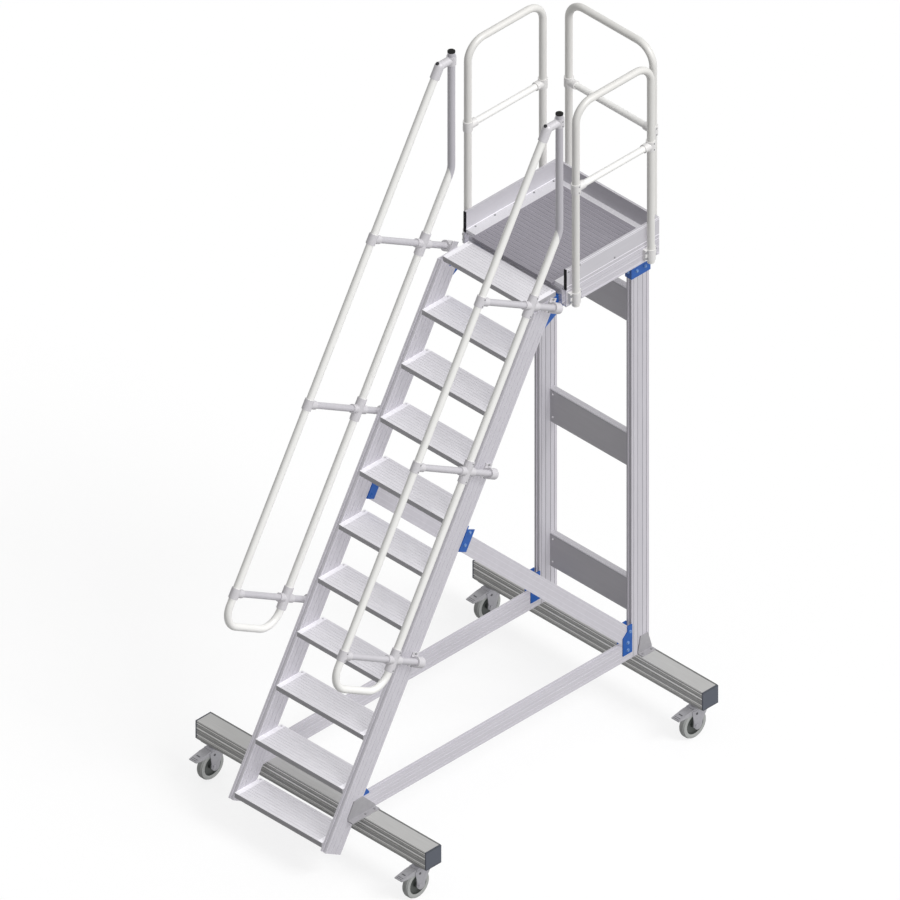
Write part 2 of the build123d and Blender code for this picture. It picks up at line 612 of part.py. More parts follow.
def caster_parts():
    """One braked swivel caster round its swivel axis, with the wheel trailing to the front."""
    top = CASTER_HEIGHT
    under = top - PLATE_THICK
    race = 5.0
    plate = Pos(0, 0, top - PLATE_THICK / 2) * Box(PLATE_LENGTH, PLATE_WIDTH, PLATE_THICK)
    plate = fillet(plate.edges().filter_by(Axis.Z), 8)
    plate += Pos(0, 0, under - race) * extrude(Circle(RACE_RADIUS), race)
    crown_top = under - race - 1.0
    head = 10.0
    crown = 5.0
    pin_foot = crown_top - head - crown - 3
    plate += Pos(0, 0, pin_foot) * extrude(Circle(KINGPIN_RADIUS), under - pin_foot)

    # fork: bearing ring, crown plate and two legs that narrow to the axle
    leg_in = WHEEL_WIDTH / 2 + FORK_SIDE_GAP
    leg_out = leg_in + FORK_THICK
    crown_z = crown_top - head - crown
    eye = 17.0
    wheel_y = -CASTER_TRAIL
    fork = Pos(0, 0, crown_top - head) * extrude(Circle(RACE_RADIUS + 1), head)
    fork = chamfer(fork.edges().group_by(Axis.Z)[-1], 2)
    front = -52.0
    heel = 38.0
    fork += block(-leg_out, leg_out, front, heel, crown_z, crown_z + crown)
    outline = [
        (front, crown_z + crown), (heel, crown_z + crown), (heel, crown_z - 26),
        (wheel_y + 40, WHEEL_RADIUS + 8), (wheel_y + eye, WHEEL_RADIUS), (wheel_y - eye, WHEEL_RADIUS),
        (wheel_y - eye, WHEEL_RADIUS + 12), (front, crown_z - 18),
    ]
    for x in (-leg_out, leg_in):
        leg = side_plate(outline, x, x + FORK_THICK)
        disc = Plane.YZ * Circle(eye)
        leg += Pos(x, wheel_y, WHEEL_RADIUS) * extrude(disc, FORK_THICK, dir=(1, 0, 0))
        fork += leg
    axle_end = leg_out + 7
    fork += rod((-axle_end, wheel_y, WHEEL_RADIUS), (axle_end, wheel_y, WHEEL_RADIUS), AXLE_RADIUS)
    for x in (-axle_end, leg_out):
        nut = Plane.YZ * RegularPolygon(10, 6)
        fork += Pos(x, wheel_y, WHEEL_RADIUS) * extrude(nut, 7, dir=(1, 0, 0))
    fork -= Pos(0, 0, crown_z - 5) * extrude(Circle(KINGPIN_RADIUS + RUNNING), 60)
    fork = fork.solid()

    # brake pedal: a bent tread plate hung on the front of the fork's crown
    pedal_half = leg_out - 1
    tip = (-PEDAL_REACH, crown_z - 12)
    root = front - SEAT
    pedal_line = [
        (root, crown_z + 3), (-84, crown_z + 1), tip, (tip[0] - 2, tip[1] - 5),
        (tip[0] + 8, tip[1] - 7), (-84, crown_z - 24), (-58, crown_z - 24), (root, crown_z - 17),
    ]
    pedal = side_plate(pedal_line, -pedal_half, pedal_half)
    hollow = [(-46, crown_z - 6), (-84, crown_z - 5), (tip[0] + 16, tip[1] - 5), (-84, crown_z - 40),
              (-46, crown_z - 40)]
    pedal -= side_plate(hollow, -pedal_half + 4, pedal_half - 4)
    pedal = max(pedal.solids(), key=lambda s: s.volume)

    # wheel core and tyre
    rim = WHEEL_RADIUS - TYRE_DEPTH
    half = WHEEL_WIDTH / 2
    hub = 19.0
    web = 5.0
    core_line = [
        (AXLE_RADIUS + RUNNING, half + 3), (hub, half + 3), (hub, web), (rim - 8, web), (rim - 8, half - 3),
        (rim, half - 3),
    ]
    core_points = core_line + [(r, -x) for r, x in reversed(core_line)]
    core = wheel_revolve(core_points)
    tyre_line = [
        (rim + SEAT, half - 3), (rim + 2, half), (WHEEL_RADIUS - 5, half), (WHEEL_RADIUS, half - 7),
    ]
    tyre = wheel_revolve(tyre_line + [(r, -x) for r, x in reversed(tyre_line)])
    return plate.solid(), fork, pedal, core, tyre


def wheel_revolve(points):
    """A ring about the axle from its half section, radius and place across."""
    outline = Polyline(*[(r, x) for r, x in points], close=True)
    ring = revolve(make_face(outline), Axis.Y)
    return Pos(0, -CASTER_TRAIL, WHEEL_RADIUS) * (Rot(0, 0, 90) * ring)


def casters():
    """Four casters, one under each end of the two rails."""
    plate, fork, pedal, core, tyre = caster_parts()
    x = RAIL_LENGTH / 2 - CASTER_INSET
    # name, side, rail
    places = (
        ("front_left", -x, RAIL_FRONT_Y), ("front_right", x, RAIL_FRONT_Y),
        ("rear_left", -x, RAIL_REAR_Y), ("rear_right", x, RAIL_REAR_Y),
    )
    plates = []
    for name, side, rail in places:
        place = Pos(side, rail + RAIL_SIDE / 2, 0)
        plates.append(place * plate)
        save(f"caster_fork_{name}", place * fork)
        save(f"caster_pedal_{name}", place * pedal)
        save(f"wheel_core_{name}", place * core)
        save(f"wheel_tyre_{name}", place * tyre)
    save("caster_plates", *plates)


os.makedirs("parts", exist_ok=True)
base_rails()
base_tubes()
stringers()
treads()
uprights()
braces()
brackets()
gussets()
platform()
railings()
handrails()
casters()
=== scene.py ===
import math

import bpy
from mathutils import Matrix, Vector


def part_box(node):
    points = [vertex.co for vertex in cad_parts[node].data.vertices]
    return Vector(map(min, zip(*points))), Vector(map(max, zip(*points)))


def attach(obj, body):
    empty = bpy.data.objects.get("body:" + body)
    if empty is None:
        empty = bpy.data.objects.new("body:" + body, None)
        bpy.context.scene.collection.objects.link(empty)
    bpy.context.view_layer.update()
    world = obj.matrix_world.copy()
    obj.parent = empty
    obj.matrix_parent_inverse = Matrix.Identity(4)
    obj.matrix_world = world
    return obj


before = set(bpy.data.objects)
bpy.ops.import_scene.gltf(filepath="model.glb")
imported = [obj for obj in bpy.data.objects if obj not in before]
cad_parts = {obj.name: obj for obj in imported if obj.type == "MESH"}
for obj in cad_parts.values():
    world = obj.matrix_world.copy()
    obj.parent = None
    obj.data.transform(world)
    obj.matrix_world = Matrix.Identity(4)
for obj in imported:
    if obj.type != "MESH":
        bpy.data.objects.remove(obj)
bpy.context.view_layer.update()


# Base rails
# Two square aluminium extrusions lie across the floor and carry everything. Each is a mill
# finished profile with T slots in its upright faces, sawn square and left bare.

def node(tree, kind, inputs, **settings):
    """A shader node with its settings, and its sockets fed by values or by other sockets."""
    made = tree.nodes.new(kind)
    for setting, value in settings.items():
        setattr(made, setting, value)
    for socket, value in inputs.items():
        if isinstance(value, bpy.types.NodeSocket):
            tree.links.new(value, made.inputs[socket])
        else:
            made.inputs[socket].default_value = value
    return made


def worked(tree, operation, *values):
    """The result of one sum on values or sockets."""
    return node(tree, "ShaderNodeMath", dict(enumerate(values)), operation=operation).outputs[0]


def rescaled(tree, value, low, high, new_low, new_high):
    """A value brought from one range to another."""
    return node(tree, "ShaderNodeMapRange", {0: value, 1: low, 2: high, 3: new_low, 4: new_high}).outputs[0]


def part_of(tree, vector, axis):
    """One part of a vector."""
    return node(tree, "ShaderNodeSeparateXYZ", {0: vector}).outputs[axis]


def mixed_colours(tree, share, first, second, blend="MIX"):
    """Two colours mixed or multiplied."""
    mix = node(tree, "ShaderNodeMix", {0: share, 6: first, 7: second}, data_type="RGBA", blend_type=blend)
    return mix.outputs[2]


def bands(tree, value, start, width, stops):
    """A shade that changes in bands across a face. Each stop is a share of its width and the
    shade, or the tint, from there on."""
    ramp = node(tree, "ShaderNodeValToRGB", {0: rescaled(tree, value, start, start + width, 0.0, 1.0)})
    ramp.color_ramp.interpolation = "CONSTANT"
    elements = ramp.color_ramp.elements
    elements.remove(elements[-1])
    for number, (place, shade) in enumerate(stops):
        element = elements[0] if number == 0 else elements.new(place)
        element.position = place
        element.color = (*shade, 1) if isinstance(shade, tuple) else (shade, shade, shade, 1)
    return ramp.outputs[0]


def drawn_lines(tree, place, lines):
    """The shade of the lines that run along a face: the direction across it, or SIDE for the
    distance from the middle plane, start, width, stops and, where the piece is repeated, pitch."""
    if lines is None:
        return (1, 1, 1, 1)
    across, start, width, stops, *pitch = lines
    if across == SIDE:
        along = worked(tree, "ABSOLUTE", part_of(tree, place, X))
    else:
        product = node(tree, "ShaderNodeVectorMath", {0: place, 1: across}, operation="DOT_PRODUCT")
        along = product.outputs["Value"]
    if pitch:
        along = worked(tree, "WRAP", along, start + pitch[0], start)
    return bands(tree, along, start, width, stops)


def metal(name, light, dark, grain, rough, metallic, wide=None, narrow=None, facing=0, outside=False,
          relief=0.08, shine=0.2):
    """A metal finish with streaks along the grain. Wide lines, mostly painted light and shade, are
    drawn on the faces that look along one axis, or with outside only on the outer ones, and narrow
    lines on the rest."""
    material = bpy.data.materials.new(name)
    material.use_nodes = True
    tree = material.node_tree
    shader = tree.nodes["Principled BSDF"]
    coordinates = tree.nodes.new("ShaderNodeTexCoord")
    place = coordinates.outputs["Object"]
    stretched = node(tree, "ShaderNodeMapping", {"Vector": place, "Scale": grain}).outputs[0]
    streak = node(tree, "ShaderNodeTexNoise",
                  {"Vector": stretched, "Scale": 1.0, "Detail": 5.0, "Roughness": 0.6}).outputs[0]
    base = mixed_colours(tree, rescaled(tree, streak, 0.3, 0.7, 0.0, 1.0), (*dark, 1), (*light, 1))
    if wide or narrow:
        looks = part_of(tree, coordinates.outputs["Normal"], facing)
        if outside:
            away = worked(tree, "MULTIPLY", looks, part_of(tree, place, facing))
        else:
            away = worked(tree, "POWER", looks, 2.0)
        faces = worked(tree, "GREATER_THAN", away, 0.2)
        shade = mixed_colours(tree, faces, drawn_lines(tree, place, narrow), drawn_lines(tree, place, wide))
        base = mixed_colours(tree, 1.0, base, shade, "MULTIPLY")
    worn = node(tree, "ShaderNodeTexNoise", {"Vector": place, "Scale": 14.0, "Detail": 3.0}).outputs[0]
    gloss = rescaled(tree, worn, 0.3, 0.7, rough - 0.06, rough + 0.06)
    bump = node(tree, "ShaderNodeBump", {"Height": streak, "Strength": relief, "Distance": 0.0003}).outputs[0]
    tree.links.new(base, shader.inputs["Base Color"])
    tree.links.new(gloss, shader.inputs["Roughness"])
    tree.links.new(bump, shader.inputs["Normal"])
    shader.inputs["Metallic"].default_value = metallic
    shader.inputs["Specular IOR Level"].default_value = shine
    return material


def finish_nodes(material, *names):
    """Gives the solids of the frame their finish."""
    for name in names:
        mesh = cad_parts[name].data
        mesh.materials.clear()
        mesh.materials.append(material)


X, Y, Z = 0, 1, 2
RIGHT, BACK, UP = (1, 0, 0), (0, 1, 0), (0, 0, 1)
FORWARD, DOWN = (0, -1, 0), (0, 0, -1)
SIDE = "side"
RAIL_SIDE = 0.100
RAIL_TONES = ((0.500, 0.498, 0.490), (0.450, 0.448, 0.440))
# Painted light and shade on the rail's upright faces: light bands where the slots' ledges catch the light,
# dark bands in their shaded hollows.
RAIL_FACE_LIGHT_AND_SHADE = ((0.0, 0.76), (0.140, 1.40), (0.225, 1.98), (0.285, 0.78), (0.56, 0.86), (0.58, 1.98),
             (0.665, 0.72), (0.855, 1.95), (0.910, 0.60), (0.97, 1.35))
# Painted shade along the front and back edges of the rail's top, with thin painted highlights inside them.
RAIL_TOP_LIGHT_AND_SHADE = ((0.0, 0.72), (0.045, 1.06), (0.10, 1.0), (0.88, 1.06), (0.905, 0.30))
rail_low, rail_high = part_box("rail_front")
rail_top = rail_high.z
for name in ("rail_front", "rail_rear"):
    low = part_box(name)[0]
    rail_metal = metal(name + "_aluminium", *RAIL_TONES, (7, 190, 190), 0.48, 0.05,
                       wide=(UP, low.z, RAIL_SIDE, RAIL_FACE_LIGHT_AND_SHADE),
                       narrow=(BACK, low.y, RAIL_SIDE, RAIL_TOP_LIGHT_AND_SHADE), facing=Y)
    finish_nodes(rail_metal, name)


# End caps
# Moulded dark plastic plates close the four open ends of the base rails. They press into the
# hollow of the profile, and their rim shows as a darker line.

def plastic(name, colour, rough, scale, rim=None, shine=0.5):
    """A moulded plastic with a fine grain in its tone and surface."""
    material = bpy.data.materials.new(name)
    material.use_nodes = True
    tree = material.node_tree
    shader = tree.nodes["Principled BSDF"]
    place = tree.nodes.new("ShaderNodeTexCoord").outputs["Object"]
    grain = node(tree, "ShaderNodeTexNoise", {"Vector": place, "Scale": scale, "Detail": 4.0}).outputs[0]
    pale = [min(1.0, 1.15 * part) for part in colour]
    base = mixed_colours(tree, grain, (*colour, 1), (*pale, 1))
    if rim is not None:
        base = mixed_colours(tree, 1.0, base, drawn_lines(tree, place, rim), "MULTIPLY")
    bump = node(tree, "ShaderNodeBump", {"Height": grain, "Strength": 0.12, "Distance": 0.0005}).outputs[0]
    tree.links.new(base, shader.inputs["Base Color"])
    tree.links.new(bump, shader.inputs["Normal"])
    shader.inputs["Roughness"].default_value = rough
    shader.inputs["Specular IOR Level"].default_value = shine
    return material


CAP_RIM = ((0.0, 0.62), (0.06, 1.0), (0.94, 0.70))
cap_plastic = plastic("end_cap_plastic", (0.062, 0.070, 0.090), 0.55, 240,
                      rim=(UP, rail_low.z, RAIL_SIDE, CAP_RIM))
finish_nodes(cap_plastic, "rail_end_caps")


# Stair, uprights and braces
# Ribbed hollow aluminium sections, all of one thickness, sawn to angle and bolted with the blue
# brackets. Grooves from the drawing die run the whole length of each.

RISE = 0.237
TREADS = 11
NOSE_PROUD = 0.014
BRACE_FOOT_RISE = 0.041
SECTION_DEPTH = 0.115
TUBE_DEPTH = 0.090
BEAM_DEPTH = 0.098
slope = math.radians(60)
outward = Vector((0, -math.sin(slope), math.cos(slope)))
upward = Vector((0, math.cos(slope), math.sin(slope)))
tread_low, tread_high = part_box("treads")
nose = Vector((0, tread_low.y, tread_high.z - RISE * (TREADS - 1)))
front_line = nose + Vector((0, NOSE_PROUD, 0))
stringer_back = front_line.dot(outward) - SECTION_DEPTH
upright_low, upright_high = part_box("upright_right")
beam_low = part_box("platform_side_beams")[0]
brace_across = Vector((0, math.sqrt(0.5), math.sqrt(0.5)))
brace_under = Vector((0, upright_low.y, rail_top + BRACE_FOOT_RISE)).dot(brace_across)

# Painted light and shade in lines: the lit lips and shaded hollows of the grooves on the uprights' sides, on
# plainer tubes, on thin dark and light edges, and on beams.
GROOVE_LIGHT_AND_SHADE = ((0.0, 1.08), (0.040, 0.80), (0.06, 1.0), (0.115, 0.62), (0.155, 1.22), (0.190, 1.0),
           (0.335, 0.70), (0.375, 1.14), (0.40, 0.97), (0.615, 0.68), (0.655, 1.16), (0.68, 1.0),
           (0.835, 0.64), (0.875, 1.22), (0.910, 1.03), (0.950, 0.84), (0.970, 1.10))
# Painted highlights only, along the grooves of the stringers' sides, the base tubes and the braces.
QUIET_HIGHLIGHTS = ((0.0, 1.02), (0.120, 1.10), (0.160, 1.0), (0.340, 1.10), (0.380, 1.0), (0.620, 1.10),
         (0.660, 1.0), (0.840, 1.10), (0.880, 1.0), (0.970, 1.08))
# Painted shade on the thin edges of uprights and beams, with painted highlights along their ribs.
EDGE = ((0.0, 0.68), (0.10, 0.84), (0.22, 1.30), (0.30, 0.80), (0.40, 0.70), (0.52, 1.50),
        (0.64, 0.72), (0.90, 0.95))
# The stringers' edges painted lighter all over, a painted highlight on faces turned away from the lamps.
STRINGER_EDGE_HIGHLIGHT = ((0.0, 1.15), (0.10, 1.40), (0.20, 1.12), (0.34, 1.30), (0.40, 1.12), (0.62, 1.30),
              (0.68, 1.12), (0.82, 1.42), (0.92, 1.15))
# Painted highlights and shade along the ribs of the platform's beams.
BEAM_LIGHT_AND_SHADE = ((0.0, 1.02), (0.070, 1.22), (0.130, 1.0), (0.330, 0.90), (0.360, 1.0), (0.440, 1.20),
        (0.490, 1.0), (0.660, 0.88), (0.690, 1.0), (0.850, 0.86), (0.900, 1.40), (0.955, 0.94))
SECTION_TONES = ((0.580, 0.565, 0.605), (0.545, 0.530, 0.570))
SECTIONS = (
    # Finish, grain, painted light and shade across the wide faces, painted light and shade on the edges,
    # facing, nodes.
    ("stringer_aluminium", (60, 30, 30), (tuple(outward), stringer_back, SECTION_DEPTH, QUIET_HIGHLIGHTS),
     STRINGER_EDGE_HIGHLIGHT, X, ("stringer_left", "stringer_right")),
    ("upright_aluminium", (60, 60, 5), (BACK, upright_low.y, SECTION_DEPTH, GROOVE_LIGHT_AND_SHADE),
     EDGE, X, ("upright_left", "upright_right")),
    ("base_tube_aluminium", (60, 5, 60), (UP, rail_top, TUBE_DEPTH, QUIET_HIGHLIGHTS),
     QUIET_HIGHLIGHTS, X, ("base_tube_left", "base_tube_right")),
    ("side_beam_aluminium", (60, 5, 60), (UP, beam_low.z, BEAM_DEPTH, BEAM_LIGHT_AND_SHADE),
     EDGE, X, ("platform_side_beams",)),
    ("brace_aluminium", (60, 30, 30), (tuple(brace_across), brace_under, TUBE_DEPTH, QUIET_HIGHLIGHTS),
     QUIET_HIGHLIGHTS, X, ("brace_left", "brace_right")),
    ("cross_beam_aluminium", (5, 60, 60), (UP, beam_low.z, BEAM_DEPTH, BEAM_LIGHT_AND_SHADE),
     EDGE, Y, ("platform_cross_beams",)),
)
section_width = upright_high.x - upright_low.x
for finish, grain, lines, edge, facing, names in SECTIONS:
    section_metal = metal(finish, *SECTION_TONES, grain, 0.42, 0.06, wide=lines,
                          narrow=(SIDE, upright_low.x, section_width, edge), facing=facing)
    finish_nodes(section_metal, *names)

BOARDS = 3
BOARD_HEIGHT = 0.188
BOARD_PITCH = 0.822
# Painted shade and light along the boards' edges: a dark line with a thin highlight at the foot, and a dark
# line under a bright painted highlight at the top.
BOARD_LIGHT_AND_SHADE = ((0.0, 0.80), (0.012, 1.10), (0.03, 1.0), (0.930, 0.80), (0.948, 1.0), (0.965, 1.85))
board_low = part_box("back_boards")[0]
board_metal = metal("back_board_aluminium", (0.500, 0.490, 0.515), (0.475, 0.465, 0.490), (4, 60, 60),
                    0.50, 0.03, wide=(UP, board_low.z, BOARD_HEIGHT, BOARD_LIGHT_AND_SHADE, BOARD_PITCH), facing=Y)
finish_nodes(board_metal, "back_boards")


def start_piece(add, **place):
    """A new primitive with nothing else selected."""
    bpy.ops.object.select_all(action="DESELECT")
    add(**place)
    return bpy.context.object


def choose(piece, others=()):
    """Makes a piece active and selects it, alone or with others."""
    bpy.ops.object.select_all(action="DESELECT")
    for each in (piece, *others):
        each.select_set(True)
    bpy.context.view_layer.objects.active = piece


def pick(piece, kind, chosen):
    """In edit mode, selects the faces or edges that pass a test of middle and direction."""
    bpy.context.view_layer.objects.active = piece
    bpy.ops.object.mode_set(mode="EDIT")
    bpy.ops.mesh.select_mode(type=kind)
    bpy.ops.mesh.select_all(action="DESELECT")
    bpy.ops.object.mode_set(mode="OBJECT")
    mesh = piece.data
    if kind == "FACE":
        for face in mesh.polygons:
            face.select = chosen(face.center, face.normal)
    else:
        for edge in mesh.edges:
            a, b = (mesh.vertices[v].co for v in edge.vertices)
            edge.select = chosen((a + b) / 2, (b - a).normalized())
    bpy.ops.object.mode_set(mode="EDIT")


def ease(piece, offset, segments, chosen):
    """Eases the edges that pass a test."""
    pick(piece, "EDGE", chosen)
    bpy.ops.mesh.bevel(offset=offset, segments=segments, affect="EDGES")


def leave(piece, angle=30):
    """Back to object mode, with soft edges below an angle."""
    bpy.ops.mesh.select_all(action="SELECT")
    bpy.ops.mesh.normals_make_consistent(inside=False)
    bpy.ops.object.mode_set(mode="OBJECT")
    choose(piece)
    bpy.ops.object.transform_apply(location=True, rotation=True, scale=True)
    bpy.ops.object.shade_smooth_by_angle(angle=math.radians(angle))
    return piece


def joined(name, pieces, material, body="frame"):
    """One piece from several meshes, with its finish, riding on its body."""
    whole, *others = pieces
    choose(whole, others)
    if others:
        bpy.ops.object.join()
    whole.name = name
    whole.data.name = name
    whole.data.materials.clear()
    whole.data.materials.append(material)
    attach(whole, body)
    return whole


def copied(pattern, lie):
    """A copy of a pattern, with its own mesh laid where a matrix puts it."""
    copy = pattern.copy()
    copy.data = pattern.data.copy()
    copy.data.transform(lie)
    bpy.context.collection.objects.link(copy)
    return copy


def set_out(pattern, places):
    """Copies of a pattern that points up, each turned to face out at its place."""
    copies = []
    for spot, way in places:
        turn = Vector(way).to_track_quat("Z", "Y").to_matrix().to_4x4()
        copies.append(copied(pattern, Matrix.Translation(Vector(spot)) @ turn))
    return copies


def both_sides(places):
    """The places given for the right side, and their mirror places on the left."""
    pairs = []
    for (x, y, z), (a, b, c) in places:
        pairs.append(((x, y, z), (a, b, c)))
        pairs.append(((-x, y, z), (-a, b, c)))
    return pairs


def button_screw(radius, height):
    """A low round screw head with a sunk recess, standing on the face it holds."""
    head = start_piece(bpy.ops.mesh.primitive_cylinder_add, vertices=18, radius=radius, depth=height,
                       location=(0, 0, height / 2))
    ease(head, height * 0.45, 2, lambda middle, way: middle.z > height * 0.4 and abs(way.z) < 0.5)
    pick(head, "FACE", lambda middle, normal: normal.z > 0.99)
    bpy.ops.mesh.inset(thickness=radius * 0.25)
    bpy.ops.mesh.extrude_region_move(TRANSFORM_OT_translate={"value": (0, 0, -height * 0.5)})
    return leave(head)


BOARD_SCREW_X = 0.268
BOARD_SCREW_EDGE = 0.030
screw_head = button_screw(0.0050, 0.0026)
screw_metal = metal("screw_zinc", (0.36, 0.36, 0.37), (0.26, 0.26, 0.27), (120, 120, 120), 0.35, 0.5)
bright_screw = metal("bright_screw_steel", (0.700, 0.690, 0.710), (0.640, 0.630, 0.650), (120, 120, 120),
                     0.35, 0.2)
spots = []
for board in range(BOARDS):
    foot = board_low.z + board * BOARD_PITCH
    for z in (foot + BOARD_SCREW_EDGE, foot + BOARD_HEIGHT - BOARD_SCREW_EDGE):
        spots.append(((BOARD_SCREW_X, board_low.y, z), FORWARD))
joined("board_screws", set_out(screw_head, both_sides(spots)), bright_screw)


# Treads
# Each tread is an extruded plate with a ribbed top that gives grip, a square nose, and a plain
# end block, painted lighter than the ribbed top, through which it is screwed to the stringers.

GOING = RISE / math.tan(slope)
TREAD_DEPTH = 0.170
TREAD_HALF = 0.286
TREAD_SCREW_X = 0.274
TREAD_SCREW_EDGE = 0.012
# The end block's top is painted a quarter lighter than the ribbed top.
END_BLOCK = ((0.0, 1.0), (0.905, 1.25))
# Painted shade on the nose and the tread's other upright faces, lighter near their top edge.
NOSE_SHADE = ((0.0, 0.54), (0.87, 0.92))
nose_height = nose.z - tread_low.z + 0.001
tread_metal = metal("tread_aluminium", (0.800, 0.788, 0.822), (0.710, 0.698, 0.732), (9, 170, 170), 0.5, 0.04,
                    wide=(SIDE, 0.0, TREAD_HALF, END_BLOCK),
                    narrow=(UP, tread_low.z, nose_height, NOSE_SHADE, RISE), facing=Z)
finish_nodes(tread_metal, "treads")
spots = []
for step in range(TREADS):
    y = nose.y + TREAD_DEPTH - TREAD_SCREW_EDGE + step * GOING
    spots.append(((TREAD_SCREW_X, y, nose.z + step * RISE), UP))
joined("tread_screws", set_out(screw_head, both_sides(spots)), bright_screw)


# Platform
# Two side beams and two cross beams make the platform's frame. A darker ribbed deck lies
# between them on a pale rim, and toe boards stand round three sides with black end caps.

DECK_GROOVE = 0.005
# Painted light in the deck's grooves, lifting the shade that falls in them: floors lighter, and walls lighter
# above a painted shade line at their foot.
DECK_GROOVE_LIGHT = ((0.0, 1.32), (0.3, 1.0))
DECK_GROOVE_WALL_LIGHT = ((0.0, 0.80), (0.08, 1.5))
LEDGE_TOP = ((0.0, 1.0), (0.981, 1.35))
# Painted highlights and shade along the ribs of the toe boards' outer faces.
TOE_LIGHT_AND_SHADE = ((0.0, 1.0), (0.045, 0.86), (0.070, 1.0), (0.110, 1.50), (0.160, 0.90), (0.185, 1.0),
            (0.880, 1.45), (0.915, 0.90), (0.940, 1.0), (0.955, 1.50))
ledge_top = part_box("deck_ledge")[1].z
toe_low, toe_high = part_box("toe_boards_side")
toe_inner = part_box("toe_board_rear")[1].x
toe_middle = (toe_high.x + toe_inner) / 2
toe_height = toe_high.z - toe_low.z
toe_length = toe_high.y - toe_low.y
groove_foot = ledge_top - DECK_GROOVE / 2
deck_metal = metal("deck_aluminium", (0.310, 0.296, 0.332), (0.272, 0.260, 0.293), (10, 220, 220), 0.5, 0.04,
                   wide=(UP, groove_foot, DECK_GROOVE, DECK_GROOVE_LIGHT),
                   narrow=(UP, groove_foot, DECK_GROOVE, DECK_GROOVE_WALL_LIGHT), facing=Z)
finish_nodes(deck_metal, "deck")
ledge_metal = metal("deck_ledge_aluminium", (0.800, 0.790, 0.820), (0.620, 0.610, 0.640), (260, 260, 260),
                    0.45, 0.10, wide=(SIDE, 0.0, toe_inner, LEDGE_TOP), facing=Z)
finish_nodes(ledge_metal, "deck_ledge")
for name, facing in (("toe_boards_side", X), ("toe_board_rear", Y)):
    toe_metal = metal(name + "_aluminium", (0.560, 0.548, 0.582), (0.535, 0.523, 0.557), (5, 5, 60),
                      0.45, 0.05, wide=(UP, toe_low.z, toe_height, TOE_LIGHT_AND_SHADE), facing=facing, outside=True)
    finish_nodes(toe_metal, name)


def block(size, middle=(0, 0, 0)):
    """A box of a given size."""
    piece = start_piece(bpy.ops.mesh.primitive_cube_add, size=1, location=middle, scale=size)
    bpy.ops.object.transform_apply(location=True, rotation=True, scale=True)
    return piece


CAP_WIDTH = 0.015
CAP_THICK = 0.006
CAP_PROUD = 0.0005
end_cap = block((CAP_WIDTH, CAP_THICK, toe_height + 0.002), (0, 0, toe_height / 2))
ease(end_cap, 0.0015, 2, lambda middle, way: middle.y < -0.002)
pick(end_cap, "FACE", lambda middle, normal: normal.y < -0.99)
bpy.ops.mesh.inset(thickness=0.0018)
bpy.ops.mesh.extrude_region_move(TRANSFORM_OT_translate={"value": (0, 0.0010, 0)})
leave(end_cap)
caps = []
for side in (-1, 1):
    lie = Matrix.Translation((side * toe_middle, toe_low.y - CAP_PROUD, toe_low.z))
    caps.append(copied(end_cap, lie))
black_plastic = plastic("black_cap_plastic", (0.006, 0.006, 0.007), 0.5, 400, shine=0.12)
joined("toe_board_end_caps", caps, black_plastic)

# Rivets through the side boards: share of the length and drop from the top.
TOE_RIVETS = ((0.025, 0.016), (0.145, 0.013), (0.52, 0.086), (0.93, 0.013))
spots = []
for share, drop in TOE_RIVETS:
    spots.append(((toe_high.x, toe_low.y + share * toe_length, toe_high.z - drop), RIGHT))
joined("toe_board_rivets", set_out(screw_head, both_sides(spots)), screw_metal)
LEDGE_SCREW_IN = 0.021
spots = []
for share in (0.08, 0.29, 0.50, 0.71, 0.92):
    spots.append(((toe_middle - LEDGE_SCREW_IN, toe_low.y + share * toe_length, ledge_top), UP))
joined("ledge_screws", set_out(screw_head, both_sides(spots)), screw_metal)


# Railings and handrails
# Bright drawn aluminium tube, bent cold. The three platform frames, the knee rails and the two
# long handrails are cut from it, and cast clamps and sleeves hold them with screws and bolts.

TUBE_RADIUS = 0.0185
SLEEVE_RADIUS = 0.0235
SCREW_SUNK = 0.0008
POST_SET = 0.064
POST_HALF = 0.0195
# Painted shade with a lilac painted reflection, for the handrails' upright posts.
POST_SHADE_TINT = (0.60, 0.59, 0.645)
railing_low, railing_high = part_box("railing_right")
rear_frame_low, rear_frame_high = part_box("railing_rear")
knee_low, knee_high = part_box("knee_rails")
railing_x = (railing_low.x + railing_high.x) / 2
post_front = railing_low.y + TUBE_RADIUS
post_rear = railing_high.y - TUBE_RADIUS
rear_y = (rear_frame_low.y + rear_frame_high.y) / 2
rear_x = rear_frame_high.x - TUBE_RADIUS
bend_y = beam_low.y - POST_SET

railing_metal = metal("railing_tube_aluminium", (0.730, 0.722, 0.700), (0.715, 0.707, 0.685), (30, 30, 8),
                      0.42, 0.05, relief=0.01, shine=0.12)
finish_nodes(railing_metal, "railing_left", "railing_right", "railing_rear")
knee_metal = metal("knee_rail_aluminium", (0.850, 0.845, 0.830), (0.840, 0.835, 0.820), (30, 30, 30),
                   0.42, 0.05, relief=0.01, shine=0.15)
finish_nodes(knee_metal, "knee_rails")
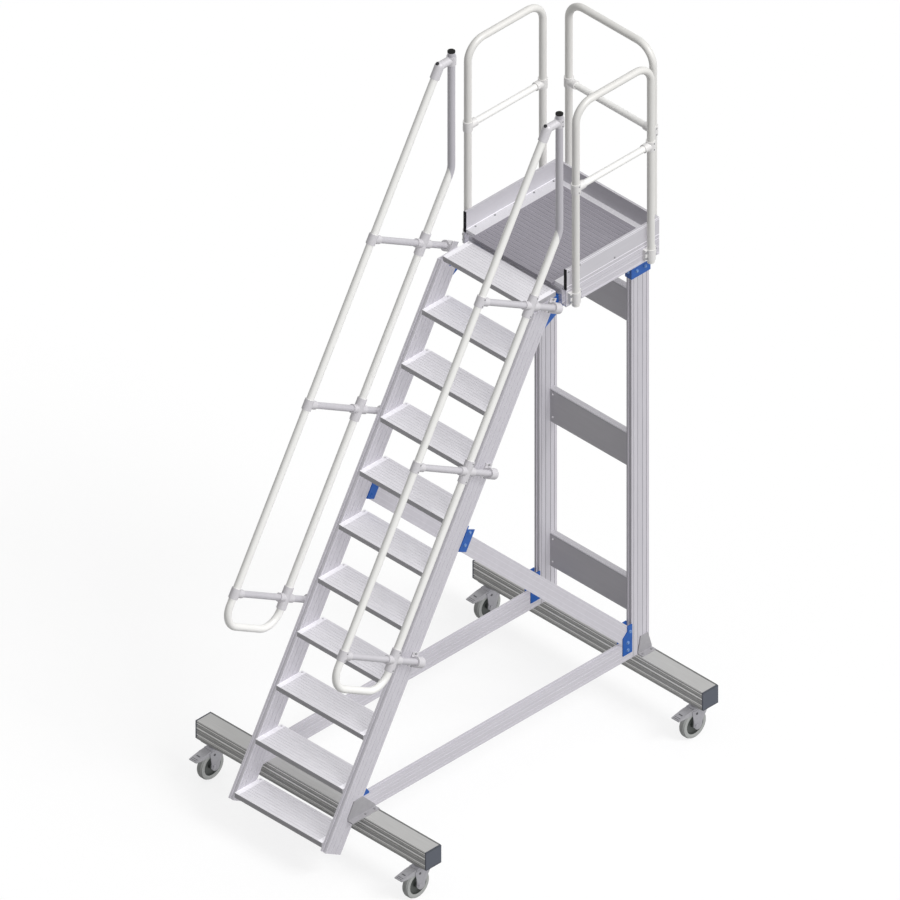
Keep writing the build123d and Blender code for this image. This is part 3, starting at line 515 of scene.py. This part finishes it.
# The upright post of each handrail is painted greyer and more lilac than its slope, a painted shade with a
# lilac painted reflection, from the post's front backwards.
post_shade = (BACK, bend_y - POST_HALF - 0.5, 1.0, ((0.0, 1.0), (0.5, POST_SHADE_TINT)))
handrail_metal = metal("handrail_tube_aluminium", (0.850, 0.845, 0.825), (0.840, 0.835, 0.815), (30, 30, 8),
                       0.42, 0.05, wide=post_shade, narrow=post_shade, relief=0.01, shine=0.15)
finish_nodes(handrail_metal, "handrail_left", "handrail_right")
spacer_metal = metal("spacer_tube_aluminium", (0.560, 0.547, 0.578), (0.530, 0.517, 0.548), (30, 30, 30),
                     0.36, 0.10, relief=0.01)
finish_nodes(spacer_metal, "handrail_spacers")
sleeve_metal = metal("handrail_casting_aluminium", (0.640, 0.626, 0.650), (0.580, 0.566, 0.590),
                     (120, 120, 120), 0.42, 0.08, relief=0.04, shine=0.15)
finish_nodes(sleeve_metal, "handrail_fittings")
clamp_metal = metal("railing_casting_aluminium", (0.760, 0.750, 0.745), (0.700, 0.690, 0.685),
                    (120, 120, 120), 0.42, 0.06, relief=0.04, shine=0.15)
finish_nodes(clamp_metal, "railing_fittings")
finish_nodes(plastic("tube_cap_plastic", (0.006, 0.006, 0.006), 0.5, 400, shine=0.12), "handrail_caps")


def hex_bolt(radius, height, washer):
    """A hexagon head on a plain washer."""
    def upper_rim(middle, way):
        return middle.z > height * 0.1 and abs(way.z) < 0.5

    disc = start_piece(bpy.ops.mesh.primitive_cylinder_add, vertices=20, radius=washer, depth=height * 0.3,
                       location=(0, 0, height * 0.15))
    ease(disc, height * 0.08, 1, upper_rim)
    leave(disc)
    head = start_piece(bpy.ops.mesh.primitive_cylinder_add, vertices=6, radius=radius, depth=height * 0.7,
                       location=(0, 0, height * 0.65))
    ease(head, height * 0.14, 1, upper_rim)
    pick(head, "FACE", lambda middle, normal: normal.z > 0.99)
    bpy.ops.mesh.inset(thickness=radius * 0.18, depth=-height * 0.06)
    leave(head)
    choose(disc, [head])
    bpy.ops.object.join()
    return disc


bolt = hex_bolt(0.0075, 0.0070, 0.0090)
small_bolt = hex_bolt(0.0055, 0.0050, 0.0065)
black_steel = metal("black_bolt_steel", (0.045, 0.045, 0.048), (0.025, 0.025, 0.027), (150, 150, 150),
                    0.4, 0.4)

CLAMP_BOLT_OUT = 0.0290
clamp_rows = (beam_low.z + 0.032, beam_low.z + 0.064)
spots = []
for y in (post_front, post_rear):
    for z in clamp_rows:
        for way in (-1, 1):
            spots.append(((railing_x, y + way * CLAMP_BOLT_OUT, z), RIGHT))
for z in clamp_rows:
    for way in (-1, 1):
        spots.append(((rear_x + way * CLAMP_BOLT_OUT, rear_y, z), BACK))
joined("railing_clamp_bolts", set_out(small_bolt, both_sides(spots)), screw_metal)

# Two flat straps hold each rear post to the toe board, each with a pair of black bolts.
STRAP_SIZE = (0.078, 0.004, 0.034)
STRAP_RIDGE = 0.003
STRAP_BOLT_OUT = 0.0310
STRAP_BOLT_PROUD = 0.0035
STRAP_LOW = 0.020
STRAP_HIGH = 0.022
strap = block(STRAP_SIZE)
pick(strap, "FACE", lambda middle, normal: abs(normal.x) > 0.9)
bpy.ops.mesh.inset(thickness=0.0008)
ease(strap, 0.0010, 2, lambda middle, way: abs(way.z) > 0.9 and abs(middle.x) > 0.03)
pick(strap, "FACE", lambda middle, normal: normal.y > 0.99)
bpy.ops.mesh.inset(thickness=0.016)
bpy.ops.mesh.extrude_region_move(TRANSFORM_OT_translate={"value": (0, STRAP_RIDGE, 0)})
leave(strap)
strap_y = rear_y - TUBE_RADIUS
straps = []
spots = []
for side in (-1, 1):
    for z in (toe_low.z + STRAP_LOW, toe_high.z - STRAP_HIGH):
        straps.append(copied(strap, Matrix.Translation((side * rear_x, strap_y + STRAP_SIZE[Y] / 2, z))))
        for way in (-1, 1):
            x = side * rear_x + way * STRAP_BOLT_OUT
            spots.append(((x, strap_y + STRAP_BOLT_PROUD, z), BACK))
joined("rear_post_straps", straps, clamp_metal)
joined("rear_strap_bolts", set_out(small_bolt, spots), black_steel)

# Set screws in the knee rails' sleeves, in the handrails' sleeves and in the top elbows.
KNEE_OUT = 0.103
HANDRAIL_OUT = 0.484
SPACER_FALLS = (0.380, 1.224, 2.186)
KNEE_SCREW_REACH = 0.017
SLEEVE_SCREWS = ((HANDRAIL_OUT, 0.017), (KNEE_OUT, 0.046))
ELBOW_DROP = 0.048
ELBOW_SCREWS = (-0.016, 0.010)
knee_z = (knee_low.z + knee_high.z) / 2
bend = Vector((railing_x, bend_y, 0))
bend.z = nose.z + (bend.y - front_line.y + KNEE_OUT / math.sin(slope)) * math.tan(slope)
elbow_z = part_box("handrail_caps")[1].z - ELBOW_DROP
sleeve_face = Vector((SLEEVE_RADIUS - SCREW_SUNK, 0, 0))


def on_slope(fall, out):
    """A place in the handrail's plane: fall down the slope, out square to the stringer."""
    return bend - upward * fall + outward * (out - KNEE_OUT)


grub = button_screw(0.0038, 0.0022)
spots = []
for x, y in ((railing_x, post_front), (railing_x, post_rear), (rear_x, rear_y)):
    for z in (knee_z - KNEE_SCREW_REACH, knee_z + KNEE_SCREW_REACH):
        spots.append((Vector((x, y, z)) + sleeve_face, RIGHT))
for fall in SPACER_FALLS:
    for out, reach in SLEEVE_SCREWS:
        for way in (-reach, reach):
            spots.append((on_slope(fall + way, out) + sleeve_face, RIGHT))
for rise in ELBOW_SCREWS:
    spots.append((Vector((railing_x, bend_y, elbow_z + rise)) + sleeve_face, RIGHT))
joined("rail_set_screws", set_out(grub, both_sides(spots)), screw_metal)

# A black bolt pinches the knuckle of the cast elbow at the top of each handrail, and two bolts
# hold each saddle of the spacers to the stringer.
SADDLE_IN = 0.0275
SADDLE_THICK = 0.006
SADDLE_BOLT_REACH = 0.0315
KNUCKLE_SUNK = 0.0007
ELBOW_LEAN = math.radians(30)
elbow_fall = (bend.z + outward.z * (HANDRAIL_OUT - KNEE_OUT) - elbow_z) / upward.z
lean = Vector((0, -math.sin(ELBOW_LEAN), math.cos(ELBOW_LEAN)))
knuckle = on_slope(elbow_fall, HANDRAIL_OUT) + lean * (SLEEVE_RADIUS - KNUCKLE_SUNK)
joined("elbow_bolts", set_out(bolt, both_sides([(knuckle, lean)])), black_steel)
spots = []
for fall in SPACER_FALLS:
    for way in (-SADDLE_BOLT_REACH, SADDLE_BOLT_REACH):
        spot = on_slope(fall, SADDLE_IN - SECTION_DEPTH) + upward * way
        spots.append(((upright_high.x + SADDLE_THICK, spot.y, spot.z), RIGHT))
joined("saddle_bolts", set_out(small_bolt, both_sides(spots)), screw_metal)


# Brackets and gussets
# Pressed brackets painted blue bolt the profiles together, and grey angle gussets hold the
# stair and the uprights on the base rails. Bolts with washers hold them all: zinc plated on the
# gussets, and on the brackets bolts painted a lighter blue than the brackets, a painted highlight.

blue = metal("blue_paint", (0.026, 0.112, 0.400), (0.020, 0.090, 0.345), (25, 25, 25), 0.32, 0.0)
# The bracket bolts are painted a lighter blue than the brackets, a painted highlight on their heads.
highlit_blue_bolt = metal("bracket_bolt_highlit_blue", (0.170, 0.290, 0.540), (0.110, 0.220, 0.470), (90, 90, 90),
                    0.34, 0.10, shine=0.4)
finish_nodes(blue, "corner_brackets")
# The gussets' flat faces, top and bottom, are painted a tenth lighter than their edges, a painted highlight
# where the light falls from above.
gusset_paint = metal("grey_paint", (0.370, 0.363, 0.380), (0.335, 0.328, 0.345), (40, 40, 40), 0.42, 0.1,
                     wide=(SIDE, 0.0, 1.0, ((0.0, 1.10),)), facing=Z)
finish_nodes(gusset_paint, "rail_gussets")
gusset_zinc = metal("gusset_bolt_zinc", (0.340, 0.334, 0.350), (0.280, 0.274, 0.290), (90, 90, 90), 0.4, 0.15)

# Bolts at the uprights' feet, at the braces' heads and at the platform's seats.
FOOT_BOLTS = ((0.030, 0.062), (0.030, 0.104), (0.015, 0.160))
BRACE_BOLTS = (0.022, 0.078)
BRACE_BOLTS_BACK = 0.024
BRACE_BOLTS_DROP = 0.006
SEAT_DROP = 0.036
SEAT_BOLT_IN = 0.030
BRACKET_THICK = 0.005
plate_x = upright_high.x + BRACKET_THICK
middle_x = (upright_low.x + upright_high.x) / 2
seat_z = beam_low.z - SEAT_DROP
head_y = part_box("brace_right")[0].y
head_z = nose.z + (head_y - front_line.y - SECTION_DEPTH / math.sin(slope)) * math.tan(slope)
spots = []
for ahead, rise in FOOT_BOLTS:
    spots.append(((plate_x, upright_low.y - ahead, rail_top + rise), RIGHT))
for rise in BRACE_BOLTS:
    y = head_y + rise / math.tan(slope) + BRACE_BOLTS_BACK
    spots.append(((plate_x, y, head_z + rise - BRACE_BOLTS_DROP), RIGHT))
for y in (upright_low.y + SEAT_BOLT_IN, upright_high.y - SEAT_BOLT_IN):
    spots.append(((plate_x, y, seat_z), RIGHT))
spots.append(((middle_x, upright_low.y - BRACKET_THICK, seat_z), FORWARD))
joined("bracket_bolts", set_out(bolt, both_sides(spots)), highlit_blue_bolt)

GUSSET_OUT = 0.021
GUSSET_THICK = 0.006
GUSSET_BOLT_IN = 0.020
UPRIGHT_BOLT_IN = 0.022
rear_low, rear_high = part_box("rail_rear")
spots = []
for y in (rail_low.y + GUSSET_BOLT_IN, rail_high.y - GUSSET_BOLT_IN,
          rear_low.y + UPRIGHT_BOLT_IN, rear_high.y - GUSSET_BOLT_IN):
    spots.append(((upright_high.x + GUSSET_OUT, y, rail_top + GUSSET_THICK), UP))
joined("gusset_bolts", set_out(small_bolt, both_sides(spots)), gusset_zinc)


# Casters
# Zinc plated pressed steel heads and forks, a brake pedal on each, and wheels of dark nylon with
# a light grey rubber tyre. Four bolts hold each head plate up against the rail.

CORNERS = ("front_left", "front_right", "rear_left", "rear_right")
zinc = metal("caster_zinc", (0.370, 0.366, 0.390), (0.330, 0.326, 0.350), (60, 60, 60), 0.40, 0.12, shine=0.3)
lever = metal("brake_lever_zinc", (0.400, 0.396, 0.415), (0.340, 0.336, 0.355), (90, 90, 90), 0.4, 0.30)
core_nylon = plastic("wheel_core_nylon", (0.045, 0.050, 0.047), 0.5, 300)
tyre_rubber = plastic("wheel_tyre_rubber", (0.300, 0.308, 0.300), 0.7, 500)
light_rim = plastic("wheel_rim_rubber", (0.330, 0.338, 0.330), 0.65, 500)
dark_steel = metal("caster_rivet_steel", (0.140, 0.140, 0.150), (0.090, 0.090, 0.096), (150, 150, 150),
                   0.4, 0.3)
finish_nodes(zinc, "caster_plates")
for corner in CORNERS:
    finish_nodes(zinc, "caster_fork_" + corner)
    finish_nodes(lever, "caster_pedal_" + corner)
    finish_nodes(core_nylon, "wheel_core_" + corner)
    finish_nodes(tyre_rubber, "wheel_tyre_" + corner)

# The side ring of a tyre reaches in over the rim of the core.
RING_RADIUS = 0.0715
RING_WIDTH = 0.0185
RING_THICK = 0.0045
RING_OUT = 0.0125
side_ring = start_piece(bpy.ops.mesh.primitive_circle_add, vertices=48, radius=RING_RADIUS,
                        fill_type="NGON", location=(0, 0, 0))
pick(side_ring, "FACE", lambda middle, normal: True)
bpy.ops.mesh.inset(thickness=RING_WIDTH)
bpy.ops.mesh.delete(type="FACE")
bpy.ops.object.mode_set(mode="OBJECT")
thick = side_ring.modifiers.new("thickness", "SOLIDIFY")
thick.thickness = RING_THICK
thick.offset = 1
bpy.ops.object.modifier_apply(modifier="thickness")
ease(side_ring, 0.0009, 2, lambda middle, way: middle.z > 0.003 and abs(way.z) < 0.5)
leave(side_ring, 40)

# A pressed cheek over a fork's leg, round about the axle and broad below the head.
CHEEK_RADIUS = 0.024
CHEEK_THICK = 0.0022
CHEEK_RISE = 0.088
CHEEK_SPREAD = 1.85
CHEEK_OUT = 0.0262
CHEEK_BACK = 0.012
CHEEK_DROP = 0.004
cheek = start_piece(bpy.ops.mesh.primitive_cylinder_add, vertices=36, radius=CHEEK_RADIUS, depth=CHEEK_THICK,
                    location=(0, 0, 0))
pick(cheek, "FACE", lambda middle, normal: abs(normal.z) < 0.5 and middle.x < -0.001)
bpy.ops.transform.translate(value=(-CHEEK_RISE, 0.004, 0))
bpy.ops.transform.resize(value=(0.0, CHEEK_SPREAD, 1), center_override=(-CHEEK_RISE, 0.004, 0))
ease(cheek, 0.0008, 2, lambda middle, way: abs(middle.z) > 0.001 and abs(way.z) < 0.5)
leave(cheek, 35)
cheek_upright = Matrix.Rotation(math.radians(90), 4, "Y")

# Dark grip ribs across a pedal's plate, two at its tip and a broad one behind: share of the
# plate's length, width and depth.
GRIP_RIBS = ((0.06, 0.036, 0.0030), (0.20, 0.036, 0.0030), (0.52, 0.022, 0.0065))
RIB_THICK = 0.003
PEDAL_TIP = Vector((0, 0.004, -0.0152))
PEDAL_RUN = Vector((0, 0.066, 0.0130))
pedal_pitch = Matrix.Rotation(math.radians(11), 4, "X")
grip_ribs = []
for share, broad, deep in GRIP_RIBS:
    rib = block((broad, deep, RIB_THICK))
    ease(rib, 0.0011, 2, lambda middle, way: middle.z > 0.001 and abs(way.z) < 0.5)
    leave(rib)
    rib.data.transform(Matrix.Translation(PEDAL_TIP + PEDAL_RUN * share) @ pedal_pitch)
    grip_ribs.append(rib)

RIVET_OUT = 0.0271
FORK_RIVETS = ((0.002, 0.066), (0.050, 0.070))
rivet = button_screw(0.0062, 0.0030)
for corner in CORNERS:
    wheel_low, wheel_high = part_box("wheel_tyre_" + corner)
    pedal_low, pedal_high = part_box("caster_pedal_" + corner)
    hub = (wheel_low + wheel_high) / 2
    swivel = "swivel_" + corner
    rings = []
    rivets = []
    cheeks = []
    for way in (-1, 1):
        rings.append(((hub.x + way * RING_OUT, hub.y, hub.z), (way, 0, 0)))
        for back, rise in FORK_RIVETS:
            rivets.append(((hub.x + way * RIVET_OUT, hub.y + back, hub.z + rise), (way, 0, 0)))
        cheek_place = (hub.x + way * CHEEK_OUT, hub.y + CHEEK_BACK, hub.z - CHEEK_DROP)
        cheeks.append(Matrix.Translation(cheek_place) @ cheek_upright)
    joined("tyre_side_rings_" + corner, set_out(side_ring, rings), light_rim, "wheel_" + corner)
    joined("fork_rivets_" + corner, set_out(rivet, rivets), dark_steel, swivel)
    joined("fork_cheeks_" + corner, [copied(cheek, lie) for lie in cheeks], zinc, swivel)
    pedal_lie = Matrix.Translation((hub.x, pedal_low.y, pedal_high.z))
    ribs = [copied(rib, pedal_lie) for rib in grip_ribs]
    joined("pedal_ribs_" + corner, ribs, dark_steel, swivel)

PLATE_THICK = 0.005
PLATE_BOLT_X = 0.043
PLATE_BOLT_Y = 0.036
spots = []
for corner in CORNERS:
    fork_low, fork_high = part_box("caster_fork_" + corner)
    low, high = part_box("rail_front" if corner.startswith("front") else "rail_rear")
    plate = Vector(((fork_low.x + fork_high.x) / 2, (low.y + high.y) / 2, rail_low.z - PLATE_THICK))
    for x in (-PLATE_BOLT_X, PLATE_BOLT_X):
        for y in (-PLATE_BOLT_Y, PLATE_BOLT_Y):
            spots.append((plate + Vector((x, y, 0)), DOWN))
joined("caster_plate_bolts", set_out(small_bolt, spots), screw_metal)
patterns = (screw_head, end_cap, bolt, small_bolt, strap, grub, side_ring, cheek, rivet, *grip_ribs)
for pattern in patterns:
    bpy.data.objects.remove(pattern)


# Floor, light and camera
# A white floor, a broad lamp from the right and above, soft fill from all round, and a level
# parallel view from the front right corner.

FLOOR_GLOW = 0.55
FLOOR_BOUNCE = 0.25
FLOOR_SIZE = 60
FILL = 0.34
LAMP_TURN = (0.0, math.radians(45), math.radians(13))
LAMP_SPREAD = math.radians(24)
LAMPS = ((2.15, False), (0.80, True))
VIEW_TURN = (math.radians(54.7356), 0, math.radians(45))
VIEW_DISTANCE = 12
VIEW_REACH = 60
VIEW_WIDTH = 4.182
AIM_BACK = 0.9148
AIM_HEIGHT = 1.750

floor = start_piece(bpy.ops.mesh.primitive_plane_add, size=FLOOR_SIZE, location=(0, 0, 0))
floor.name = "floor"
floor_paint = bpy.data.materials.new("floor_paint")
floor_paint.use_nodes = True
tree = floor_paint.node_tree
shader = tree.nodes["Principled BSDF"]
scattered = tree.nodes.new("ShaderNodeLightPath").outputs["Is Diffuse Ray"]
albedo = rescaled(tree, scattered, 0.0, 1.0, 1.0, FLOOR_BOUNCE)
tree.links.new(albedo, shader.inputs["Base Color"])
shader.inputs["Roughness"].default_value = 1.0
shader.inputs["Specular IOR Level"].default_value = 0.0
glow = node(tree, "ShaderNodeEmission", {"Color": (1, 1, 1, 1), "Strength": 1.0})
seen = rescaled(tree, scattered, 0.0, 1.0, FLOOR_GLOW, 0.0)
mixed = node(tree, "ShaderNodeMixShader", {0: seen, 1: shader.outputs[0], 2: glow.outputs[0]})
tree.links.new(mixed.outputs[0], tree.nodes["Material Output"].inputs["Surface"])
floor.data.materials.append(floor_paint)

world = bpy.data.worlds.new("studio")
bpy.context.scene.world = world
world.use_nodes = True
tree = world.node_tree
background = tree.nodes["Background"]
scattered = tree.nodes.new("ShaderNodeLightPath").outputs["Is Diffuse Ray"]
tree.links.new(rescaled(tree, scattered, 0.0, 1.0, 1.0, FILL), background.inputs["Strength"])
background.inputs["Color"].default_value = (1, 1, 1, 1)

for energy, shadow in LAMPS:
    bpy.ops.object.light_add(type="SUN", rotation=LAMP_TURN)
    lamp = bpy.context.object.data
    lamp.energy = energy
    lamp.angle = LAMP_SPREAD
    lamp.use_shadow = shadow

bpy.ops.object.camera_add(rotation=VIEW_TURN)
camera = bpy.context.object
camera.data.type = "ORTHO"
camera.data.ortho_scale = VIEW_WIDTH
camera.data.clip_end = VIEW_REACH
aim = Vector((0, rail_low.y + AIM_BACK, AIM_HEIGHT))
camera.location = aim + camera.rotation_euler.to_matrix() @ Vector((0, 0, VIEW_DISTANCE))
bpy.context.scene.camera = camera
bpy.context.scene.view_settings.view_transform = "Standard"
